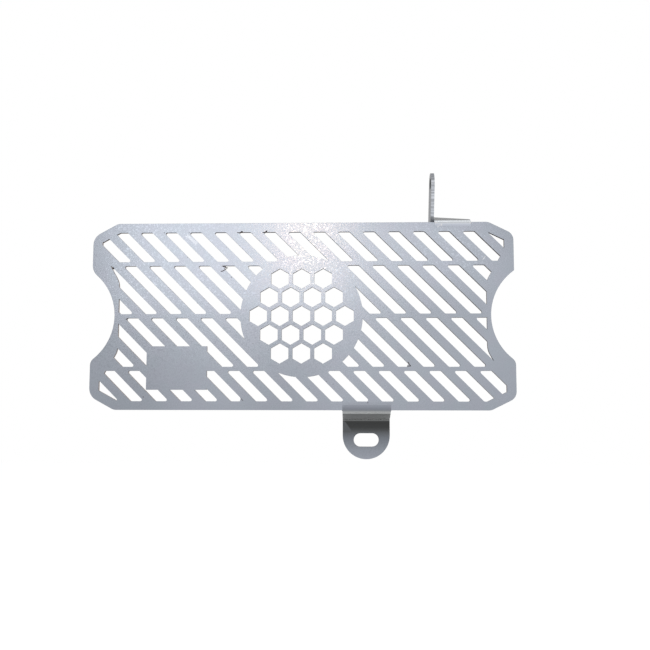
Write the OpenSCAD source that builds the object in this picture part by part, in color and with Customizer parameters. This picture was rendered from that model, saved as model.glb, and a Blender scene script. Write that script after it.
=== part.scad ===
// Motorcycle radiator guard: one laser-cut sheet of stainless steel, folded at its two mounting tabs.
// The plate stands upright: X runs across it, Z up, and its front face looks towards minus Y.
// The origin is the middle of the bolt hole in the upper tongue. Lengths are in millimetres.

/* [Sheet] */
// Thickness of the sheet
sheet_t = 2; // [1.5:0.1:2.5]
// Inside radius of the two folds that leave the plate
fold_r = 3.5; // [2.5:0.1:4]

/* [Plate outline] */
// Width of the plate
plate_w = 254; // [240:1:270]
// Margin between the top edge and the top row of slots
top_margin = 5.6; // [5:0.1:8]
// Margin between the bottom row of slots and the bottom edge
bottom_margin = 5.2; // [5:0.1:8]
// How far each corner is cut back along the top or bottom edge
corner_run = 15; // [10:0.5:18]
// How far the left corners are cut back along the end of the plate
corner_drop = 8.2; // [5:0.1:10]
// The same at the right corners, which were left a little fuller
right_corner_drop = 7.4; // [5:0.1:10]
// Rounding where a cut corner meets the top or bottom edge
corner_edge_r = 6; // [2:0.5:10]
// Rounding where a left cut corner meets the end of the plate
corner_end_r = 8; // [2:0.5:12]
// The same at the right corners
right_corner_end_r = 6; // [2:0.5:12]
// Radius of the scallop in each end
scallop_r = 33; // [30:0.5:38]
// Depth of the scallop in each end
scallop_depth = 14.1; // [10:0.1:16]
// Rounding of the horns beside the scallops
horn_r = 5; // [2:0.5:6]
// Rounding of the upper left horn, which is the roundest
left_horn_r = 8; // [2:0.5:10]
// Rounding of the upper right horn, which is left nearly sharp
sharp_horn_r = 1; // [0.5:0.1:4]

/* [Slots] */
// Height of each of the two middle rows of slots
tall_row_h = 29.3; // [25:0.1:34]
// Height of the top row and of the bottom row of slots
short_row_h = 18.1; // [15:0.1:22]
// Height of the ribs between the rows
rib_h = 2.4; // [1.8:0.1:4]
// Width of a slot, square to its sides
slot_w = 5.6; // [4:0.1:7]
// Width of the bar between two slots, square to its sides
bar_w = 5; // [3.5:0.1:7]
// Slope of the slots from the horizontal
slot_angle = 45; // [40:1:55]
// Place of the middle slot's centre line at mid height, right of the middle of the plate
slot_shift = 1; // [-3:0.1:3]
// Rounding of the blunt corners of a slot
blunt_r = 1; // [0.4:0.1:1.5]
// Rounding of the pointed corners of a slot
point_r = 0.8; // [0.4:0.1:1]
// Size of the dross left in the points of a few slots
dross_r = 2.4; // [1.5:0.1:3]
// Solid margin left at the ends of the plate
end_margin = 5.6; // [4:0.1:8]
// Narrowest wall between a slot and a scallop
waist_wall = 2.4; // [2:0.1:5]
// Half the height over which the slots stop at an upright line beside a scallop
waist_half_h = 20.8; // [18:0.1:24]
// Slope of the line at which the slots stop above and below that height
flare_angle = 60; // [50:1:70]
// Rounding of the bend in that line
flare_r = 12; // [4:1:20]

/* [Roundel] */
// Outer radius of the ring around the roundel
ring_r = 36.7; // [34:0.1:40]
// Width of that ring
ring_w = 4; // [3:0.1:6]
// Width of a honeycomb cell across its flats
cell_w = 10.6; // [8:0.1:12]
// Width of the web between two cells
web_w = 2.4; // [1.8:0.1:4]
// How many rings of cells lie around the middle one
cell_rings = 2; // [1:1:3]

/* [Blank pad] */
// Width of the blank pad in the lower left of the grille
pad_w = 36.3; // [30:0.1:44]
// Height of the blank pad
pad_h = 26; // [20:0.1:28]
// Distance from the middle of the plate to the middle of the pad
pad_x = 74.7; // [66:0.1:80]
// Depth of the middle of the pad below mid height
pad_drop = 31.2; // [28:0.1:34]
// Size of the patch beside the pad, where the point of a slot would break out as a sliver
pad_patch_r = 2.2; // [2:0.1:2.3]

/* [Lower tab] */
// Width of the lower tab
tab_w = 28.6; // [24:0.1:32]
// Place of the lower tab, right of the middle of the plate
tab_x = 38.8; // [20:0.1:60]
// How far above the bottom edge the lower fold starts
tab_fold_in = 3.1; // [2:0.1:4]
// Angle of the fold at the bottom edge
tab_fold_angle = 73; // [60:1:85]
// Distance by which the tab's face is set back from the plate's face
tab_setback = 16; // [12:0.5:22]
// Inside radius of the fold that turns the tab down again
tab_fold_r = 2; // [1:0.1:3]
// Distance from the plate's bottom edge down to the tab's end
tab_drop = 29.7; // [26:0.1:36]
// Length of the bolt slot in the tab
bolt_slot_l = 15.2; // [12:0.1:18]
// Width of the bolt slot in the tab
bolt_slot_w = 8.1; // [6.5:0.1:9]
// Distance from the tab's end up to the middle of the bolt slot
bolt_slot_up = 11.6; // [10:0.1:14]
// Fillet between the tab's sides and the plate's bottom edge
root_fillet_r = 0.8; // [0.4:0.1:1.2]

/* [Upper bracket] */
// Place of the tongue's inner face, right of the middle of the plate
tongue_x = 80.1; // [70:0.1:90]
// Width of the shelf folded back from the top edge, from the tongue's inner face
shelf_w = 22; // [16:0.5:26]
// How far below the top edge the upper fold starts
shelf_fold_in = 3.2; // [2.4:0.1:5.4]
// Angle of the fold at the top edge
shelf_fold_angle = 70; // [60:1:80]
// Length of the shelf at its right side, from the end of the fold
shelf_short = 4; // [3:0.1:11]
// Rounding of the shelf's rear right corner
shelf_corner_r = 2; // [0.5:0.1:4]
// Relief between the fold and the tongue
tongue_relief = 0.5; // [0.2:0.1:1.5]
// Fillet in the corner between the shelf and the tongue
tongue_fillet_r = 1; // [0.8:0.1:2.5]
// Depth of the tongue's square foot below the shelf's top face
tongue_foot = 3.5; // [2.5:0.1:4.5]
// Width of the tongue
tongue_w = 14.5; // [13:0.5:20]
// Height of the tongue above the shelf
tongue_h = 27.5; // [24:0.1:34]
// Radius of the bolt hole in the tongue
bolt_hole_r = 3.3; // [2.6:0.1:4.3]
// Distance from the tongue's end down to the middle of the bolt hole
bolt_hole_down = 6.4; // [6:0.1:9]

/* [Hidden] */
$fn = 96;
arc_steps = 6;
corner_steps = 2;
fold_steps = 12;
past = 1;
fold_outer_r = fold_r + sheet_t;
half_w = plate_w / 2;
tall_top = rib_h / 2 + tall_row_h;
short_top = tall_top + rib_h + short_row_h;
plate_top = short_top + top_margin;
plate_bottom = -short_top - bottom_margin;
scallop_x = half_w - scallop_depth + scallop_r;
waist_x = half_w - scallop_depth - waist_wall;
slot_run = slot_w / sin(slot_angle);
pitch = (slot_w + bar_w) / sin(slot_angle);
slots_each_side = ceil((half_w + short_top / tan(slot_angle)) / pitch);
opening_r = ring_r - ring_w;
cell_pitch = cell_w + web_w;

// Lower tab, worked out in the plane of Y and Z
tab_fold_z = plate_bottom + tab_fold_in;
web_start_y = fold_outer_r * (1 - cos(tab_fold_angle));
web_start_z = tab_fold_z - fold_outer_r * sin(tab_fold_angle);
web_end_y = tab_setback - tab_fold_r * (1 - cos(tab_fold_angle));
web_l = (web_end_y - web_start_y) / sin(tab_fold_angle);
web_end_z = web_start_z - web_l * cos(tab_fold_angle);
tab_face_z = web_end_z - tab_fold_r * sin(tab_fold_angle);
tab_end_z = plate_bottom - tab_drop;
bolt_slot_z = tab_end_z + bolt_slot_up;
tab_round_z = tab_end_z + tab_w / 2;
bolt_slot_run = bolt_slot_l - bolt_slot_w;
root_front_y = fold_outer_r - sqrt(pow(fold_outer_r, 2) - pow(tab_fold_in, 2));

// Upper bracket, worked out in the plane of Y and Z
shelf_fold_z = plate_top - shelf_fold_in;
shelf_start_y = fold_outer_r * (1 - cos(shelf_fold_angle));
shelf_start_z = shelf_fold_z + fold_outer_r * sin(shelf_fold_angle);
shelf_rise = 90 - shelf_fold_angle;
shelf_long = tongue_relief + tongue_w;
tongue_outer_x = tongue_x - sheet_t;
fillet_end_x = tongue_x + tongue_fillet_r;
shelf_end_x = tongue_x + shelf_w;
hole_s = tongue_relief + tongue_w / 2;
hole_n = tongue_h - bolt_hole_down;
hole_x = tongue_x - sheet_t / 2;
hole_y = shelf_start_y + hole_s * cos(shelf_rise) - hole_n * sin(shelf_rise);
hole_z = shelf_start_z + hole_s * sin(shelf_rise) + hole_n * cos(shelf_rise);

function unit(v) = v / norm(v);

// Points of an arc, from angle a0 to angle a1
function arc(centre, r, a0, a1, steps) = [
    for (i = [0 : steps]) let (a = a0 + (a1 - a0) * i / steps) centre + r * [cos(a), sin(a)]
];

// The corner b of the path a, b, c, replaced by an arc of radius r
function round_corner(a, b, c, r, steps) =
    let (
        u = unit(a - b),
        w = unit(c - b),
        half = acos(u * w) / 2,
        centre = b + unit(u + w) * r / sin(half),
        d0 = unit(b + u * r / tan(half) - centre),
        d1 = unit(b + w * r / tan(half) - centre),
        sweep = 180 - 2 * half
    )
    [
        for (i = [0 : steps]) let (a = sweep * i / steps)
            centre + r * (sin(sweep - a) * d0 + sin(a) * d1) / sin(sweep)
    ];

// A closed path with each corner rounded by its own radius
function rounded(path, radii, steps) = let (n = len(path)) [
    for (i = [0 : n - 1]) each round_corner(path[(i + n - 1) % n], path[i], path[(i + 1) % n], radii[i], steps)
];

// A path run on by one more step, in a straight line, at each end
function run_on(path) = let (n = len(path) - 1)
    concat([2 * path[0] - path[1]], path, [2 * path[n] - path[n - 1]]);

function mirror_x(path) = [for (i = [len(path) - 1 : -1 : 0]) [-path[i].x, path[i].y]];
function mirror_z(path) = [for (i = [len(path) - 1 : -1 : 0]) [path[i].x, -path[i].y]];

// The upper horn at the right end, from the upright end of the plate round to the scallop
function horn(r) =
    let (
        x = half_w - r,
        z = sqrt(pow(scallop_r + r, 2) - pow(scallop_x - x, 2)),
        turn = atan2(z, scallop_x - x)
    )
    arc([x, z], r, 0, -turn, arc_steps);

// The cut corner at the upper right of a plate whose top edge is at this height
function cut_corner(top, drop, end_r) =
    let (edge = [half_w - corner_run, top], end = [half_w, top - drop])
    concat(
        round_corner([0, top], edge, end, corner_edge_r, arc_steps),
        round_corner(edge, end, [half_w, 0], end_r, arc_steps)
    );

// One end of the plate, from the top edge to the bottom edge
function plate_end(upper_horn_r, drop, end_r) = concat(
    cut_corner(plate_top, drop, end_r),
    horn(upper_horn_r),
    mirror_z(horn(horn_r)),
    mirror_z(cut_corner(-plate_bottom, drop, end_r))
);

// The upper right limit of the slots: the cut corner, moved in by the end margin
function field_corner(top, drop) =
    let (
        along = unit([corner_run, -drop]),
        start = [half_w - corner_run, top] + end_margin * [along.y, -along.x],
        at_row = start + along * (short_top - start.y) / along.y,
        at_end = start + along * (half_w - end_margin - start.x) / along.x
    )
    [at_row, at_end];

// The limit of the slots at one end of the plate, from the top row to the bottom row
function field_end(drop) =
    let (
        end_x = half_w - end_margin,
        flare_z = waist_half_h + (end_x - waist_x) * tan(flare_angle),
        bend = round_corner([end_x, flare_z], [waist_x, waist_half_h], [waist_x, 0], flare_r, arc_steps)
    )
    concat(
        field_corner(plate_top, drop),
        [[end_x, flare_z]],
        bend,
        mirror_z(bend),
        [[end_x, -flare_z]],
        mirror_z(field_corner(-plate_bottom, drop))
    );

// The whole plate before it is cut: straight top and bottom, cut corners and scalloped ends
module plate_outline() {
    difference() {
        polygon(concat(
            plate_end(sharp_horn_r, right_corner_drop, right_corner_end_r),
            mirror_x(plate_end(left_horn_r, corner_drop, corner_end_r))
        ));
        for (side = [-1, 1]) translate([side * scallop_x, 0]) circle(scallop_r);
    }
}

// One slot of the row between two heights, on the slanting line number i
module slot(i, low, high) {
    shift = slot_shift + i * pitch;
    slant = 1 / tan(slot_angle);
    polygon(rounded(
        [
            [shift - slot_run / 2 - high * slant, high],
            [shift + slot_run / 2 - high * slant, high],
            [shift + slot_run / 2 - low * slant, low],
            [shift - slot_run / 2 - low * slant, low]
        ],
        [point_r, blunt_r, point_r, blunt_r],
        corner_steps
    ));
}

// Every slanting slot, held inside the limits of the slots and clear of the ring and the pad
module slots() {
    rows = [
        [tall_top + rib_h, short_top],
        [rib_h / 2, tall_top],
        [-tall_top, -rib_h / 2],
        [-short_top, -tall_top - rib_h]
    ];
    difference() {
        intersection() {
            union() {
                for (row = rows)
                    for (i = [-slots_each_side : slots_each_side]) slot(i, row[0], row[1]);
            }
            polygon(concat(field_end(right_corner_drop), mirror_x(field_end(corner_drop))));
        }
        circle(ring_r);
        translate([-pad_x, -pad_drop]) square([pad_w, pad_h], center = true);
        translate([-pad_x + pad_w / 2, -tall_top]) circle(pad_patch_r);
        dross();
    }
}

// Dross left by the laser in three points: the upper left one of a slot, and the lower right one of two more
module dross() {
    low_point = slot_shift + slot_run / 2;
    translate([slot_shift - pitch - slot_run / 2 - tall_top / tan(slot_angle), tall_top]) circle(dross_r);
    translate([low_point + 2 * pitch + tall_top / tan(slot_angle), -tall_top]) circle(dross_r);
    translate([low_point - 6 * pitch + short_top / tan(slot_angle), -short_top]) circle(dross_r);
}

// The roundel: a honeycomb of six-sided cells inside the ring
module honeycomb() {
    intersection() {
        circle(opening_r);
        for (i = [-cell_rings : cell_rings])
            for (j = [-cell_rings : cell_rings])
                if (abs(i + j) <= cell_rings)
                    translate(cell_pitch * [i + j / 2, j * sin(60)])
                        rotate(30) circle(cell_w / 2 / cos(30), $fn = 6);
    }
}

// The flat sheet, with room left where it folds away into the tab and the shelf
module plate() {
    upright_sheet(0) difference() {
        plate_outline();
        slots();
        honeycomb();
        translate([tab_x - tab_w / 2, plate_bottom - past]) square([tab_w, tab_fold_in + past]);
        translate([tongue_x, shelf_fold_z]) square([shelf_w, shelf_fold_in + past]);
    }
}

// A flat stretch of sheet in the plane of X and Z, with its front face at this depth
module upright_sheet(front_y) {
    translate([0, front_y + sheet_t, 0]) rotate([90, 0, 0]) linear_extrude(sheet_t) children();
}

// A section in the plane of Y and Z, drawn out along X
module along_x(from_x, to_x) {
    translate([from_x, 0, 0]) rotate([90, 0, 90]) linear_extrude(to_x - from_x) children();
}

// The section of the lower tab: folded back from the plate's bottom edge, then turned down again
module tab_section() {
    first = [fold_outer_r, tab_fold_z];
    second = [tab_setback - tab_fold_r, tab_face_z];
    polygon(concat(
        arc(first, fold_outer_r, 180, 180 + tab_fold_angle, fold_steps),
        arc(second, tab_fold_r, tab_fold_angle, 0, fold_steps),
        [[tab_setback, tab_end_z], [tab_setback + sheet_t, tab_end_z]],
        arc(second, tab_fold_r + sheet_t, 0, tab_fold_angle, fold_steps),
        arc(first, fold_r, 180 + tab_fold_angle, 180, fold_steps)
    ));
}

// The tab seen from the front: straight sides, a round end and a bolt slot
module tab_front() {
    difference() {
        union() {
            translate([-tab_w / 2, tab_round_z]) square([tab_w, tab_fold_z - tab_round_z]);
            translate([0, tab_round_z]) circle(tab_w / 2);
        }
        translate([-bolt_slot_run / 2, bolt_slot_z - bolt_slot_w / 2]) square([bolt_slot_run, bolt_slot_w]);
        for (side = [-1, 1]) translate([side * bolt_slot_run / 2, bolt_slot_z]) circle(bolt_slot_w / 2);
    }
}

// A fillet in the corner between the right side of the tab and the plate's bottom edge
module root_fillet() {
    difference() {
        translate([tab_w / 2, plate_bottom - root_fillet_r]) square(root_fillet_r);
        translate([tab_w / 2 + root_fillet_r, plate_bottom - root_fillet_r]) circle(root_fillet_r);
    }
}

module lower_tab() {
    translate([tab_x, 0, 0]) {
        intersection() {
            along_x(-tab_w / 2, tab_w / 2) tab_section();
            translate([0, tab_setback + sheet_t + past, 0]) rotate([90, 0, 0])
                linear_extrude(tab_setback + sheet_t + 2 * past) tab_front();
        }
        for (side = [0, 1]) mirror([side, 0, 0])
            translate([0, sheet_t, 0]) rotate([90, 0, 0]) linear_extrude(sheet_t - root_front_y) root_fillet();
    }
}

// The section of the shelf: folded back from the plate's top edge
module shelf_section() {
    centre = [fold_outer_r, shelf_fold_z];
    back = (shelf_long + past) * [cos(shelf_rise), sin(shelf_rise)];
    outer = arc(centre, fold_outer_r, 180, 180 - shelf_fold_angle, fold_steps);
    inner = arc(centre, fold_r, 180 - shelf_fold_angle, 180, fold_steps);
    polygon(concat(outer, [outer[fold_steps] + back, inner[0] + back], inner));
}

// What the shelf is cut to, seen along its thickness: X, then the distance back from the fold
module shelf_plan() {
    rear_right = round_corner(
        [shelf_end_x, 0], [shelf_end_x, shelf_short], [fillet_end_x, shelf_long], shelf_corner_r, arc_steps
    );
    polygon(concat(
        [[tongue_outer_x, -fold_outer_r], [shelf_end_x + past, -fold_outer_r]],
        [[shelf_end_x + past, rear_right[0].y]],
        rear_right,
        [[fillet_end_x, shelf_long], [tongue_outer_x, shelf_long]]
    ));
}

// The fillet on the corner between the shelf and the tongue: X, then height above the shelf
module corner_fillet() {
    inside = arc([fillet_end_x, tongue_fillet_r], tongue_fillet_r, 180, 270, fold_steps);
    polygon(concat(run_on(inside), [[tongue_x, 0] - [sheet_t, sheet_t] / 2]));
}

// The tongue seen from the side: distance back from the fold, then height above the shelf
module tongue_side() {
    difference() {
        union() {
            translate([tongue_relief, -tongue_foot]) square([tongue_w, tongue_h - tongue_w / 2 + tongue_foot]);
            translate([hole_s, tongue_h - tongue_w / 2]) circle(tongue_w / 2);
        }
        translate([hole_s, hole_n]) circle(bolt_hole_r);
    }
}

// A section in the shelf's own X and height, drawn out backwards between two distances from the fold
module along_shelf(from_s, to_s) {
    translate([0, to_s, 0]) rotate([90, 0, 0]) linear_extrude(to_s - from_s) children();
}

// The upper bracket: a shelf folded back from the top edge, with a tongue standing up at its left side
module upper_bracket() {
    intersection() {
        along_x(tongue_x, shelf_end_x) shelf_section();
        shelf_place() translate([0, 0, -fold_outer_r]) linear_extrude(fold_outer_r + past) shelf_plan();
    }
    intersection() {
        along_x(tongue_x - sheet_t / 2, fillet_end_x) shelf_section();
        shelf_place() along_x(tongue_outer_x, fillet_end_x + past)
            translate([tongue_relief, -fold_outer_r]) square([tongue_w, fold_outer_r + past]);
    }
    shelf_place() {
        along_x(tongue_outer_x, tongue_x) tongue_side();
        along_shelf(tongue_relief, shelf_long) corner_fillet();
    }
}

// The shelf's own place: its top face starts at the end of the fold and rises to the rear
module shelf_place() {
    translate([0, shelf_start_y, shelf_start_z]) rotate([shelf_rise, 0, 0]) children();
}

// The whole guard, moved so that the upper bolt hole is at the origin
module guard_sheet() color("silver") {
    translate(-[hole_x, hole_y, hole_z]) {
        plate();
        lower_tab();
        upper_bracket();
    }
}

guard_sheet();
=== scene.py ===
"""Radiator guard in satin stainless sheet, dressed over its CAD frame. Lengths are in metres."""
import math
import random

import bmesh
import bpy
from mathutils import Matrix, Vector


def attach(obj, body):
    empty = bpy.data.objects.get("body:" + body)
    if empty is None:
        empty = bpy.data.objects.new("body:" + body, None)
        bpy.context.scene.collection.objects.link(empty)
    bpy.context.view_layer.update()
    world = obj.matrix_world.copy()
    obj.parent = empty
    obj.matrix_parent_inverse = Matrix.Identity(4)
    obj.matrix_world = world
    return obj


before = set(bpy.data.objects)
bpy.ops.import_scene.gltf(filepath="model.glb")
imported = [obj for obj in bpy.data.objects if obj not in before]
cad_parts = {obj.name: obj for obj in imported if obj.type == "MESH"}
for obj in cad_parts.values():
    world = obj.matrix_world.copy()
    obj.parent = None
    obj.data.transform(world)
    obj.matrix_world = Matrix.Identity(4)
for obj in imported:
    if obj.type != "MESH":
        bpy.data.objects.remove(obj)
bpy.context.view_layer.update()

scene = bpy.context.scene
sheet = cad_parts["guard_sheet"]

MM = 0.001

# Places on the sheet, measured from the middle of the upper bolt hole
FRONT_Y = -3.68 * MM        # front face of the plate
PLATE_TOP = -24.45 * MM     # top edge of the plate
PLATE_FOOT = -137.25 * MM   # bottom edge of the plate
BEHIND_PLATE = -1.0 * MM    # a little behind the plate's back face
TONGUE_HALF = 1.005 * MM    # half the tongue's thickness, and a little
BORE_R = 3.4 * MM           # radius of the upper bolt hole, and a little
TAB_X = -40.3 * MM          # middle of the tab
TAB_HALF = 14.3 * MM        # half the tab's width
TAB_BEND_Y = 10.4 * MM      # just before the bend above the tab's face

# Limits on a face's unit normal, which tell the sheet's faces apart
WALL_NY = 0.12              # a cut wall of the plate or a fold points less than this to front or back
EDGE_NX = 0.5               # a cut edge of the tongue points less than this to a side
TAB_NY = -0.35              # the tab's face, and the bend above it, point further to the front
BEND_NZ = -0.05             # of those two, the bend alone points further down
WEB_NZ = -0.95              # the web between the plate and the tab points further down

# Crumbs and threads of dross on the plate's front face
DROSS_SEED = 7
CRUMB_RISE = 0.1 * MM       # how far a crumb's middle stands before the face
CRUMB_DEPTH = 0.35 * MM     # half a crumb's depth
CRUMB_POINTS = 16
THREAD_RISE = 0.1 * MM      # how far a thread's middle stands before the face
THREAD_SIDES = 6
THREAD_STEPS = 4            # rings between two points of a thread's path

# The camera, at the photograph's place
LENS = 44.308
CAMERA_PLACE = (-0.04972, -0.479209, -0.132449)
CAMERA_TURN = (95.5039, -0.074, 1.8288)

# The studio
LAMP_DISTANCE = 0.95        # from the plate to each lamp that it mirrors
WORLD_LIGHT = 0.8
FLOOR_HEIGHT = -0.40
FLOOR_SIZE = 6.0
FLOOR_LIFT = 0.38           # what the floor glows by, so that it is as white as the background


class Graph:
    """The nodes of one material or world. Sockets or numbers go in, and a socket comes out."""

    def __init__(self, owner):
        owner.use_nodes = True
        self.tree = owner.node_tree
        self.tree.nodes.clear()

    def node(self, kind):
        return self.tree.nodes.new("ShaderNode" + kind)

    def feed(self, socket, value):
        if isinstance(value, bpy.types.NodeSocket):
            self.tree.links.new(value, socket)
        else:
            socket.default_value = value

    def maths(self, operation, a, b=0.0, clamp=False):
        node = self.node("Math")
        node.operation = operation
        node.use_clamp = clamp
        self.feed(node.inputs[0], a)
        self.feed(node.inputs[1], b)
        return node.outputs[0]

    def times(self, a, b):
        return self.maths("MULTIPLY", a, b)

    def plus(self, a, b):
        return self.maths("ADD", a, b)

    def most(self, a, b):
        return self.maths("MAXIMUM", a, b)

    def above(self, a, b):
        return self.maths("GREATER_THAN", a, b)

    def below(self, a, b):
        return self.maths("LESS_THAN", a, b)

    def size(self, a):
        return self.maths("ABSOLUTE", a)

    def noise(self, coord, scale, detail=2.0, rough=0.5):
        node = self.node("TexNoise")
        self.feed(node.inputs["Vector"], coord)
        for name, value in (("Scale", scale), ("Detail", detail), ("Roughness", rough)):
            node.inputs[name].default_value = value
        return node.outputs["Fac"]

    def spread(self, fac, low, high, to_low=0.0, to_high=1.0, smooth=False):
        """The range from low to high laid over the range from to_low to to_high, and held at its ends."""
        node = self.node("MapRange")
        if smooth:
            node.interpolation_type = "SMOOTHSTEP"
        ends = (("From Min", low), ("From Max", high), ("To Min", to_low), ("To Max", to_high))
        for name, value in ends:
            node.inputs[name].default_value = value
        self.feed(node.inputs["Value"], fac)
        return node.outputs["Result"]

    def curve(self, fac, stops):
        """A value that follows stops of (fac from 0 to 1, value)."""
        node = self.node("ValToRGB")
        top = max(value for _, value in stops)
        elements = node.color_ramp.elements
        while len(elements) < len(stops):
            elements.new(1.0)
        for element, (place, value) in zip(elements, stops):
            element.position = place
            element.color = (value / top, value / top, value / top, 1)
        self.feed(node.inputs[0], fac)
        return self.times(node.outputs[0], top)

    def choose(self, fac, a, b):
        node = self.node("Mix")
        for socket, value in zip((node.inputs[0], node.inputs[2], node.inputs[3]), (fac, a, b)):
            self.feed(socket, value)
        return node.outputs[0]

    def blend(self, fac, a, b, mode="MIX"):
        node = self.node("Mix")
        node.data_type = "RGBA"
        node.blend_type = mode
        for socket, value in zip((node.inputs[0], node.inputs[6], node.inputs[7]), (fac, a, b)):
            self.feed(socket, value)
        return node.outputs[2]

    def dimmed(self, colour, value):
        """The colour times a plain value."""
        return self.blend(1.0, colour, self.grey(value), "MULTIPLY")

    def split(self, vector):
        node = self.node("SeparateXYZ")
        self.feed(node.inputs[0], vector)
        return node.outputs[0], node.outputs[1], node.outputs[2]

    def stretched(self, coord, factors):
        node = self.node("Mapping")
        self.feed(node.inputs["Vector"], coord)
        node.inputs["Scale"].default_value = factors
        return node.outputs[0]

    def grey(self, value):
        node = self.node("CombineXYZ")
        for socket in node.inputs:
            self.feed(socket, value)
        return node.outputs[0]


class Here:
    """Where a shaded point of the sheet is, how it faces, and whether it is tongue, tab or cut wall."""

    def __init__(self, g):
        coords = g.node("TexCoord")
        self.at = coords.outputs["Object"]
        self.x, self.y, self.z = g.split(self.at)
        self.nx, self.ny, self.nz = g.split(coords.outputs["Normal"])
        clear_of_plate = g.most(g.above(self.z, PLATE_TOP), g.above(self.y, BEHIND_PLATE))
        self.tongue = g.times(clear_of_plate, g.below(g.size(self.x), TONGUE_HALF))
        wall = g.below(g.size(self.ny), WALL_NY)
        edge = g.below(g.size(self.nx), EDGE_NX)
        self.cut = g.choose(self.tongue, wall, edge)
        self.tab = g.times(g.below(self.ny, TAB_NY), g.above(self.y, TAB_BEND_Y))


def fold_painted_shade(g, here):
    """How light the sheet is painted by how far it faces up: painted shade under a fold, and a painted
    highlight on a fold's crest.
    The plate is painted a little darker over the tab, as shade, and the web behind it is painted lighter
    with depth."""
    tone = g.curve(g.spread(here.nz, -1.0, 1.0), (
        (0.00, 0.86), (0.024, 0.86), (0.034, 2.25), (0.078, 1.60), (0.132, 1.21), (0.185, 0.86),
        (0.24, 0.735), (0.295, 0.77), (0.348, 0.815), (0.40, 0.89), (0.456, 0.975), (0.50, 1.00),
        (0.527, 1.24), (0.58, 1.61), (0.635, 1.74), (0.69, 1.87), (0.743, 2.15), (0.80, 1.85),
        (0.85, 1.65), (0.90, 1.50), (0.945, 1.25), (0.965, 1.00), (1.00, 1.00),
    ))
    # Painted shade on the plate just above the tab's fold.
    beside = g.size(g.plus(here.x, -TAB_X))
    over_tab = g.spread(beside, TAB_HALF + 0.9 * MM, TAB_HALF - 0.9 * MM, smooth=True)
    low = g.spread(here.z, PLATE_FOOT + 5.9 * MM, PLATE_FOOT + 3.1 * MM, smooth=True)
    tone = g.times(tone, g.spread(g.times(over_tab, low), 0.0, 1.0, 1.0, 0.91))
    # Painted light: the web under the lower fold is painted lighter towards its back.
    deeper = g.spread(here.y, 1.0 * MM, 11.0 * MM, 1.0, 1.55)
    return g.times(tone, g.choose(g.below(here.nz, WEB_NZ), 1.0, deeper))


def tab_painted_shade(g, here):
    """How light the tab's face is painted: painted shade under the fold, and a painted shadow whose edge
    slants at its left.
    """
    down = g.curve(g.spread(here.z, -168.0 * MM, -142.0 * MM), (
        (0.00, 1.10), (0.04, 1.05), (0.10, 0.95), (0.26, 0.84), (0.51, 0.54), (0.64, 0.36), (0.72, 0.21),
        (0.78, 0.15), (0.87, 0.135), (0.89, 0.12), (0.904, 0.17), (0.932, 0.20), (0.955, 0.85), (1.00, 0.85),
    ))
    # Left of this slanting line the painted shadow gives way to a lighter face.
    slant_x = g.times(g.plus(here.x, 52.9 * MM), -0.807)
    slant_z = g.times(g.plus(here.z, 144.2 * MM), -0.590)
    return g.most(down, g.spread(g.plus(slant_x, slant_z), -0.2 * MM, 0.5 * MM, 0.0, 0.29, True))


def tongue_painted_shade(g, here):
    """How light the tongue's flat sides are painted: painted shade on the left one, and at the foot."""
    foot = g.spread(here.z, -22.5 * MM, -19.5 * MM, 0.75, 1.0)
    return g.times(g.spread(here.nx, -0.5, 0.5, 0.72, 1.0), foot)


def stroke(g, here, start, end, half):
    """One on a short straight mark on the plate, and none off it. Places are (x, z) in millimetres."""
    dx, dz = end[0] - start[0], end[1] - start[1]
    length = math.hypot(dx, dz)
    dx, dz = dx / length, dz / length
    soft = 0.1 * MM
    x = g.plus(here.x, -start[0] * MM)
    z = g.plus(here.z, -start[1] * MM)
    along = g.size(g.plus(g.plus(g.times(x, dx), g.times(z, dz)), -length * MM / 2))
    off = g.size(g.plus(g.times(x, -dz), g.times(z, dx)))
    within = g.spread(along, length * MM / 2 + soft, length * MM / 2 - soft)
    return g.times(within, g.spread(off, half * MM + soft, half * MM - soft))


def with_marks_and_painted_glints(g, here, face):
    """The sheet's faces with a scratch, a small painted glint beside it, a rubbed patch, a faint light
    streak and painted glints along the upper fold.
    """
    # A light scratch, and beside it a small painted glint, both in a paler colour.
    scratch = stroke(g, here, (29.4, -47.5), (31.0, -45.4), 0.25)
    glint_dot = stroke(g, here, (38.4, -46.5), (39.2, -45.9), 0.3)
    face = g.blend(g.most(scratch, glint_dot), face, (0.420, 0.430, 0.450, 1))
    rub = g.times(stroke(g, here, (-149.2, -31.6), (-142.8, -37.0), 0.9), 0.5)
    face = g.blend(rub, face, (0.420, 0.435, 0.460, 1))
    # A faint light streak near the upper fold, and painted glints at the fold's ends, in a pale colour.
    bright = g.times(stroke(g, here, (2.4, -27.3), (4.8, -26.0), 0.5), 0.35)
    for start, end in (
        ((1.2, -24.5), (2.7, -24.4)), ((5.2, -25.2), (5.2, -26.6)), ((22.0, -24.9), (23.0, -24.9)),
    ):
        bright = g.most(bright, stroke(g, here, start, end, 0.3))
    return g.blend(bright, face, (0.700, 0.690, 0.705, 1))


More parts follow.
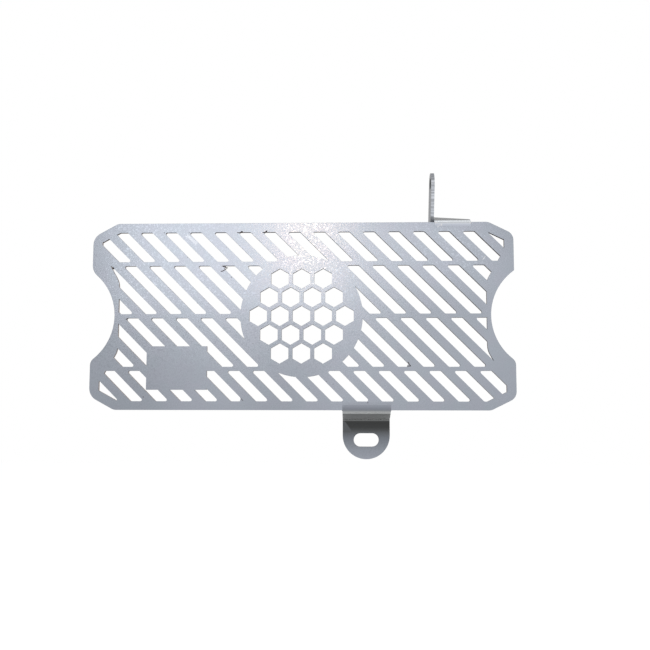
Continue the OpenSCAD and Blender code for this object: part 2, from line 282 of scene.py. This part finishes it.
def face_colour(g, here, cloud, grain):
    """The rolled faces: faint blue clouds and grain, with painted shade and painted highlights from the
    folds, tab and tongue, and neutral grey in the painted shade.
    """
    # Painted shade and highlight for the plate and folds, the tab and the tongue.
    tone = g.choose(here.tab, fold_painted_shade(g, here), tab_painted_shade(g, here))
    tone = g.choose(here.tongue, tone, tongue_painted_shade(g, here))
    cast = g.noise(here.at, 120.0, 2.0)
    steel = g.blend(g.spread(cast, 0.35, 0.65), (0.280, 0.304, 0.342, 1), (0.285, 0.301, 0.343, 1))
    # The blue cast fades to neutral grey where the painted shade is deep, on faces turned far down or up,
    # and on the bend above the tab.
    cool = g.times(g.spread(tone, 0.1, 0.5), g.spread(here.nz, -0.75, -0.45))
    cool = g.times(cool, g.spread(here.nz, 0.3, 0.6, 1.0, 0.35))
    cool = g.choose(g.times(here.tab, g.below(here.nz, BEND_NZ)), cool, 0.0)
    face = g.blend(cool, (0.285, 0.292, 0.290, 1), steel)
    shade = g.times(g.spread(cloud, 0.3, 0.7, 0.95, 1.05), g.spread(grain, 0.3, 0.7, 0.985, 1.015))
    return with_marks_and_painted_glints(g, here, g.dimmed(face, g.times(tone, shade)))


def wall_colour(g, here):
    """The cut walls of plate and folds: brownish, striped across the thickness, with painted shade that
    makes them dark brown towards the lower left and painted light that makes them pale towards the upper
    right.
    """
    stripes = g.noise(g.stretched(here.at, (1.0, 0.06, 1.0)), 2200.0, 2.0, 0.7)
    # Painted light and shade by which way a wall faces.
    lit = g.spread(g.plus(here.nx, here.nz), -1.4, 1.4)
    wall = g.blend(lit, (0.055, 0.045, 0.038, 1), (0.430, 0.375, 0.355, 1))
    return g.dimmed(wall, g.spread(stripes, 0.3, 0.7, 0.72, 1.28))


def tongue_edge_colour(g, here):
    """The tongue's cut edge: beaded, with painted shade darkening it towards its top and foot, and painted
    black shade in the bolt hole.
    """
    beads = g.noise(g.stretched(here.at, (0.1, 0.05, 1.0)), 900.0, 1.0)
    # Painted shade along the edge's height.
    along = g.curve(g.spread(here.z, -26.0 * MM, 8.0 * MM), (
        (0.00, 0.40), (0.15, 0.43), (0.18, 0.95), (0.75, 1.00), (0.80, 0.92), (0.855, 0.56), (0.91, 0.38),
        (0.955, 0.30), (1.00, 0.26),
    ))
    tone = g.times(along, g.spread(beads, 0.35, 0.65, 0.72, 1.32))
    edge = g.dimmed((0.440, 0.458, 0.490, 1), tone)
    # Painted shade: the bolt hole's wall is nearly black.
    radius = g.maths("SQRT", g.plus(g.times(here.y, here.y), g.times(here.z, here.z)))
    return g.blend(g.below(radius, BORE_R), edge, (0.026, 0.034, 0.031, 1))


def stainless():
    """Satin stainless sheet: fine grain, faint clouds, brown laser-cut walls, and painted shade and painted
    highlights on folds, walls, tab and tongue.
    """
    material = bpy.data.materials.new("satin_stainless")
    g = Graph(material)
    out = g.node("OutputMaterial")
    shader = g.node("BsdfPrincipled")
    shader.inputs["Metallic"].default_value = 1.0
    shader.inputs["Specular Tint"].default_value = (0.5, 0.5, 0.5, 1)
    g.feed(out.inputs["Surface"], shader.outputs[0])

    here = Here(g)
    cloud = g.noise(here.at, 14.0, 3.0)
    grain = g.noise(here.at, 1100.0, 2.0, 0.6)
    speck = g.noise(here.at, 2600.0, 1.0)
    facet = g.noise(here.at, 900.0, 1.0)

    walls = g.blend(here.tongue, wall_colour(g, here), tongue_edge_colour(g, here))
    colour = g.blend(here.cut, face_colour(g, here, cloud, grain), walls)
    g.feed(shader.inputs["Base Color"], colour)

    # Satin gloss, with smoother facets a millimetre across that glint under a small lamp
    gloss = g.plus(g.spread(cloud, 0.3, 0.7, 0.205, 0.240), g.spread(speck, 0.3, 0.7, -0.015, 0.015))
    gloss = g.times(gloss, g.spread(facet, 0.56, 0.68, 1.0, 0.5))
    dull = g.plus(g.times(here.cut, 0.2), g.spread(here.nz, -0.75, -0.93, 0.0, 0.5))
    g.feed(shader.inputs["Roughness"], g.maths("ADD", gloss, dull, clamp=True))

    rounding = g.node("Bevel")
    rounding.samples = 4
    rounding.inputs["Radius"].default_value = 0.2 * MM
    bump = g.node("Bump")
    bump.inputs["Strength"].default_value = 0.10
    bump.inputs["Distance"].default_value = 0.1 * MM
    g.feed(bump.inputs["Height"], g.plus(g.plus(grain, speck), g.times(facet, 0.8)))
    g.feed(bump.inputs["Normal"], rounding.outputs[0])
    g.feed(shader.inputs["Normal"], bump.outputs[0])
    return material


sheet.data.materials.clear()
sheet.data.materials.append(stainless())


def dark_oxide():
    """Burnt metal left by the cutting beam: dark, brownish and matt."""
    material = bpy.data.materials.new("dark_oxide")
    g = Graph(material)
    out = g.node("OutputMaterial")
    shader = g.node("BsdfPrincipled")
    shader.inputs["Metallic"].default_value = 0.6
    g.feed(out.inputs["Surface"], shader.outputs[0])
    patches = g.noise(g.node("TexCoord").outputs["Object"], 1800.0, 2.0)
    colour = g.blend(g.spread(patches, 0.35, 0.65), (0.030, 0.028, 0.032, 1), (0.120, 0.085, 0.075, 1))
    g.feed(shader.inputs["Base Color"], colour)
    g.feed(shader.inputs["Roughness"], g.spread(patches, 0.35, 0.65, 0.45, 0.7))
    return material


def crumb(bm, rng, x, z, wide, high):
    """A small angular lump, part sunk in the plate's front face. Its place and size are in millimetres."""
    points = []
    for _ in range(CRUMB_POINTS):
        d = Vector((rng.gauss(0, 1), rng.gauss(0, 1), rng.gauss(0, 1))).normalized() * rng.uniform(0.8, 1.1)
        place = ((x + wide * d.x) * MM, FRONT_Y - CRUMB_RISE + CRUMB_DEPTH * d.y, (z + high * d.z) * MM)
        points.append(bm.verts.new(place))
    hull = bmesh.ops.convex_hull(bm, input=points)
    inside = [v for v in hull["geom_interior"] if isinstance(v, bmesh.types.BMVert)]
    bmesh.ops.delete(bm, geom=inside, context="VERTS")


def thread_ring(bm, point, side, thick):
    """One ring of a thread round a point of its path."""
    ring = []
    for k in range(THREAD_SIDES):
        turn = math.tau * k / THREAD_SIDES
        across, out = side * thick * math.cos(turn), thick * math.sin(turn)
        place = ((point.x + across.x) * MM, FRONT_Y - THREAD_RISE - out * MM, (point.y + across.y) * MM)
        ring.append(bm.verts.new(place))
    return ring


def whisker(bm, rng, path, radius):
    """A thin wavy thread of metal along a path of (x, z) in millimetres, its middle just above the plate."""
    points = []
    for start, end in zip(path, path[1:]):
        for step in range(THREAD_STEPS):
            points.append(Vector(start).lerp(Vector(end), step / THREAD_STEPS))
    points.append(Vector(path[-1]))
    last = len(points) - 1
    rings = []
    for i, point in enumerate(points):
        side = (points[min(i + 1, last)] - points[max(i - 1, 0)]).normalized().orthogonal()
        thick = radius * rng.uniform(0.75, 1.15) * (0.5 if i in (0, last) else 1.0)
        rings.append(thread_ring(bm, point, side, thick))
    for a, b in zip(rings, rings[1:]):
        for k in range(THREAD_SIDES):
            after = (k + 1) % THREAD_SIDES
            bm.faces.new((a[k], a[after], b[after], b[k]))
    bm.faces.new(rings[0][::-1])
    bm.faces.new(rings[-1])


def laser_dross():
    """Crumbs and threads of burnt metal that the cutting left at corners of the slots."""
    rng = random.Random(DROSS_SEED)
    bm = bmesh.new()
    for x, z, wide, high in (
        (-115.4, -29.7, 0.75, 0.55), (-100.4, -29.5, 0.70, 0.50), (-184.4, -82.9, 0.55, 0.60),
        (-173.4, -129.6, 0.35, 0.35), (-39.6, -132.8, 0.40, 0.25), (-141.9, -73.2, 0.30, 0.30),
        (-121.5, -57.6, 0.30, 0.30), (-108.0, -97.6, 0.25, 0.25), (-74.3, -124.3, 0.25, 0.20),
        (-60.1, -121.9, 0.25, 0.25), (-64.0, -120.3, 0.20, 0.20), (-162.8, -30.1, 0.35, 0.30),
        (-147.6, -30.2, 0.30, 0.28), (-149.4, -31.8, 0.20, 0.20), (-148.3, -45.3, 0.20, 0.20),
        (-124.8, -39.2, 0.18, 0.18),
    ):
        crumb(bm, rng, x, z, wide, high)
    for path, radius in (
        (((-115.4, -29.7), (-116.7, -30.3), (-118.3, -30.2)), 0.28),
        (((-100.4, -29.5), (-101.6, -30.2), (-103.0, -30.4)), 0.28),
        (((-128.0, -54.0), (-126.6, -53.7), (-123.8, -51.9), (-127.3, -50.7), (-123.4, -50.6)), 0.24),
        (((-194.1, -51.0), (-193.0, -52.5)), 0.40),
        (((-115.3, -129.9), (-113.6, -131.8)), 0.20),
        (((-15.8, -108.6), (-14.8, -110.4), (-14.0, -111.1), (-16.4, -111.2)), 0.24),
    ):
        whisker(bm, rng, path, radius)
    bmesh.ops.recalc_face_normals(bm, faces=bm.faces)
    mesh = bpy.data.meshes.new("laser_dross")
    bm.to_mesh(mesh)
    bm.free()
    mesh.materials.append(dark_oxide())
    piece = bpy.data.objects.new("laser_dross", mesh)
    scene.collection.objects.link(piece)
    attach(piece, "root")


laser_dross()


eye = bpy.data.cameras.new("camera")
eye.sensor_width = 36.0
eye.lens = LENS
camera = bpy.data.objects.new("camera", eye)
scene.collection.objects.link(camera)
camera.rotation_euler = tuple(math.radians(a) for a in CAMERA_TURN)
camera.location = CAMERA_PLACE
scene.camera = camera
scene.view_settings.view_transform = "Standard"


def area_light(name, place, aim, width, height, power, colour=(1, 1, 1)):
    """A rectangular lamp that the camera doesn't see."""
    lamp = bpy.data.lights.new(name, "AREA")
    lamp.shape = "RECTANGLE"
    lamp.size, lamp.size_y = width, height
    lamp.energy = power
    lamp.color = colour
    o = bpy.data.objects.new(name, lamp)
    o.location = place
    o.rotation_euler = (Vector(aim) - Vector(place)).to_track_quat("-Z", "Y").to_euler()
    o.visible_camera = False
    scene.collection.objects.link(o)


def mirror_light(name, x, z, width, height, power, colour=(1, 1, 1)):
    """A lamp that the plate's front face mirrors to the camera at x and z, in millimetres."""
    spot = Vector((x * MM, FRONT_Y, z * MM))
    to_eye = (camera.location - spot).normalized()
    away = Vector((-to_eye.x, to_eye.y, -to_eye.z))
    area_light(name, spot + away * LAMP_DISTANCE, spot, width, height, power, colour)


area_light("key", (-0.1, 0.42, 0.85), (-0.08, 0.0, -0.08), 0.7, 0.4, 1.6)
mirror_light("glow", -118, -35, 0.45, 0.26, 0.58)
mirror_light("glow_right", -2, -32, 0.20, 0.16, 0.082)
mirror_light("low", -105, -120, 0.34, 0.16, 0.038)
mirror_light("side", 44, -88, 0.62, 0.34, 0.20)
mirror_light("core", -76, -33, 0.03, 0.11, 0.10, (1.0, 0.68, 0.42))


def seen_rays(g):
    """One for the rays that look at the background, straight or in a reflection, and none for light."""
    paths = g.node("LightPath")
    mirrored = g.plus(paths.outputs["Is Glossy Ray"], paths.outputs["Is Transmission Ray"])
    return g.maths("ADD", paths.outputs["Is Camera Ray"], mirrored, clamp=True)


def studio():
    """Surroundings that look plain white, and light the part a little less than that."""
    world = bpy.data.worlds.new("studio")
    scene.world = world
    g = Graph(world)
    out = g.node("OutputWorld")
    light = g.node("Background")
    light.inputs["Color"].default_value = (0.97, 0.98, 1.0, 1)
    light.inputs["Strength"].default_value = WORLD_LIGHT
    white = g.node("Background")
    white.inputs["Color"].default_value = (1, 1, 1, 1)
    mix = g.node("MixShader")
    g.feed(mix.inputs[0], seen_rays(g))
    g.feed(mix.inputs[1], light.outputs[0])
    g.feed(mix.inputs[2], white.outputs[0])
    g.feed(out.inputs["Surface"], mix.outputs[0])


def pale_floor():
    """A white floor below the part, as white as the background, so that only shadow shows on it."""
    mesh = bpy.data.meshes.new("floor")
    half = FLOOR_SIZE / 2
    corners = [(x, y, FLOOR_HEIGHT) for x, y in ((-half, -half), (half, -half), (half, half), (-half, half))]
    mesh.from_pydata(corners, [], [(0, 1, 2, 3)])
    floor = bpy.data.objects.new("floor", mesh)
    scene.collection.objects.link(floor)
    material = bpy.data.materials.new("white_floor")
    g = Graph(material)
    out = g.node("OutputMaterial")
    matt = g.node("BsdfDiffuse")
    matt.inputs["Color"].default_value = (0.8, 0.8, 0.8, 1)
    glow = g.node("Emission")
    g.feed(glow.inputs["Strength"], g.times(seen_rays(g), FLOOR_LIFT))
    both = g.node("AddShader")
    g.feed(both.inputs[0], matt.outputs[0])
    g.feed(both.inputs[1], glow.outputs[0])
    g.feed(out.inputs["Surface"], both.outputs[0])
    mesh.materials.append(material)


studio()
pale_floor()
